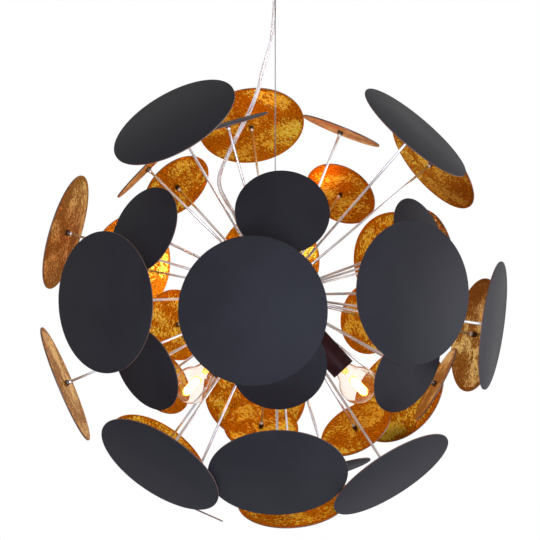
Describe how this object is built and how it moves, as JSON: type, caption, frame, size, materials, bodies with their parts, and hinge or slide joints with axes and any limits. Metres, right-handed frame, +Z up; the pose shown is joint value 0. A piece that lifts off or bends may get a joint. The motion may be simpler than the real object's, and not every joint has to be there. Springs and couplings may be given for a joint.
{
  "type": "ceiling lamp",
  "caption": "Pendant lamp: thin round discs, black outside and gilt inside, on steel stems round a ball hub, with golf-ball bulbs between them, hung by a wire from a swivel under a canopy.",
  "frame": {"origin": "middle of the ceiling bracket's top face, which lies against the ceiling", "axes": "+Z up, along the bracket's outward normal into the ceiling; -Y towards the front of the picture; +X to its right"},
  "size_m": [0.5531, 0.5458, 0.7073],
  "materials": {
    "disc_metal": "matt black outside, gold leaf over brown inside",
    "brown_enamel": "satin",
    "polished_steel": "bright",
    "brushed_steel": "satin",
    "brass": "satin",
    "clear_glass": "clear",
    "clear_vinyl": "clear, with copper showing through",
    "nylon": "matt",
    "black_paint": "matt"
  },
  "bodies": {
    "bracket": {"ceiling_bracket": "brushed_steel", "terminal_block": "nylon"},
    "canopy": {"canopy": "black_paint"},
    "swivel": {"swivel_ring": "brushed_steel"},
    "pendant": {"swivel_ball": "brass", "suspension_wire": "polished_steel", "flex": "clear_vinyl", "flex_gland": "nylon", "hub_ball": "brushed_steel", "hub_plug": "brushed_steel", "hub_hanger": "brushed_steel", "lampholder_lower_left": "brown_enamel", "lampholder_lower_right": "brown_enamel", "lampholder_upper_front": "brown_enamel", "lampholder_upper_back": "brown_enamel", "large_disc_01": "disc_metal", "large_disc_02": "disc_metal", "large_disc_03": "disc_metal", "large_disc_04": "disc_metal", "large_disc_05": "disc_metal", "large_disc_06": "disc_metal", "large_disc_07": "disc_metal", "large_disc_08": "disc_metal", "large_disc_09": "disc_metal", "large_disc_10": "disc_metal", "large_disc_11": "disc_metal", "large_disc_12": "disc_metal", "large_disc_13": "disc_metal", "large_disc_14": "disc_metal", "large_disc_15": "disc_metal", "large_disc_16": "disc_metal", "large_disc_17": "disc_metal", "large_disc_18": "disc_metal", "large_disc_19": "disc_metal", "large_disc_20": "disc_metal", "large_disc_21": "disc_metal", "small_disc_01": "disc_metal", "small_disc_02": "disc_metal", "small_disc_03": "disc_metal", "small_disc_04": "disc_metal", "small_disc_05": "disc_metal", "small_disc_06": "disc_metal", "small_disc_07": "disc_metal", "small_disc_08": "disc_metal", "small_disc_09": "disc_metal", "small_disc_10": "disc_metal", "small_disc_11": "disc_metal", "small_disc_12": "disc_metal", "small_disc_13": "disc_metal", "small_disc_14": "disc_metal", "small_disc_15": "disc_metal", "small_disc_16": "disc_metal", "small_disc_17": "disc_metal", "small_disc_18": "disc_metal", "small_disc_19": "disc_metal", "small_disc_20": "disc_metal"},
    "lower_left_bulb": {"bulb_lower_left": "clear_glass"},
    "lower_right_bulb": {"bulb_lower_right": "clear_glass"},
    "upper_front_bulb": {"bulb_upper_front": "clear_glass"},
    "upper_back_bulb": {"bulb_upper_back": "clear_glass"}
  },
  "joints": [
    {"name": "swivel_turn", "type": "hinge", "parent": "bracket", "child": "swivel", "pos_m": [0, 0, -0.03], "axis": [0, 0, 1], "range_deg": [-170, 170]},
    {"name": "pendant_sway", "type": "hinge", "parent": "swivel", "child": "pendant", "pos_m": [0, 0, -0.03], "axis": [1, 0, 0], "range_deg": [-10, 10]},
    {"name": "canopy_drop", "type": "slide", "parent": "bracket", "child": "canopy", "axis": [0, 0, -1], "range_m": [0, 0.05]},
    {"name": "lower_left_bulb_out", "type": "slide", "parent": "pendant", "child": "lower_left_bulb", "axis": [-0.6728, -0.0946, -0.7337], "range_m": [0, 0.0085]},
    {"name": "lower_right_bulb_out", "type": "slide", "parent": "pendant", "child": "lower_right_bulb", "axis": [0.6728, -0.0946, -0.7337], "range_m": [0, 0.0085]},
    {"name": "upper_front_bulb_out", "type": "slide", "parent": "pendant", "child": "upper_front_bulb", "axis": [0.0605, -0.692, 0.7193], "range_m": [0, 0.0085]},
    {"name": "upper_back_bulb_out", "type": "slide", "parent": "pendant", "child": "upper_back_bulb", "axis": [0.1126, 0.8011, 0.5878], "range_m": [0, 0.0085]}
  ]
}
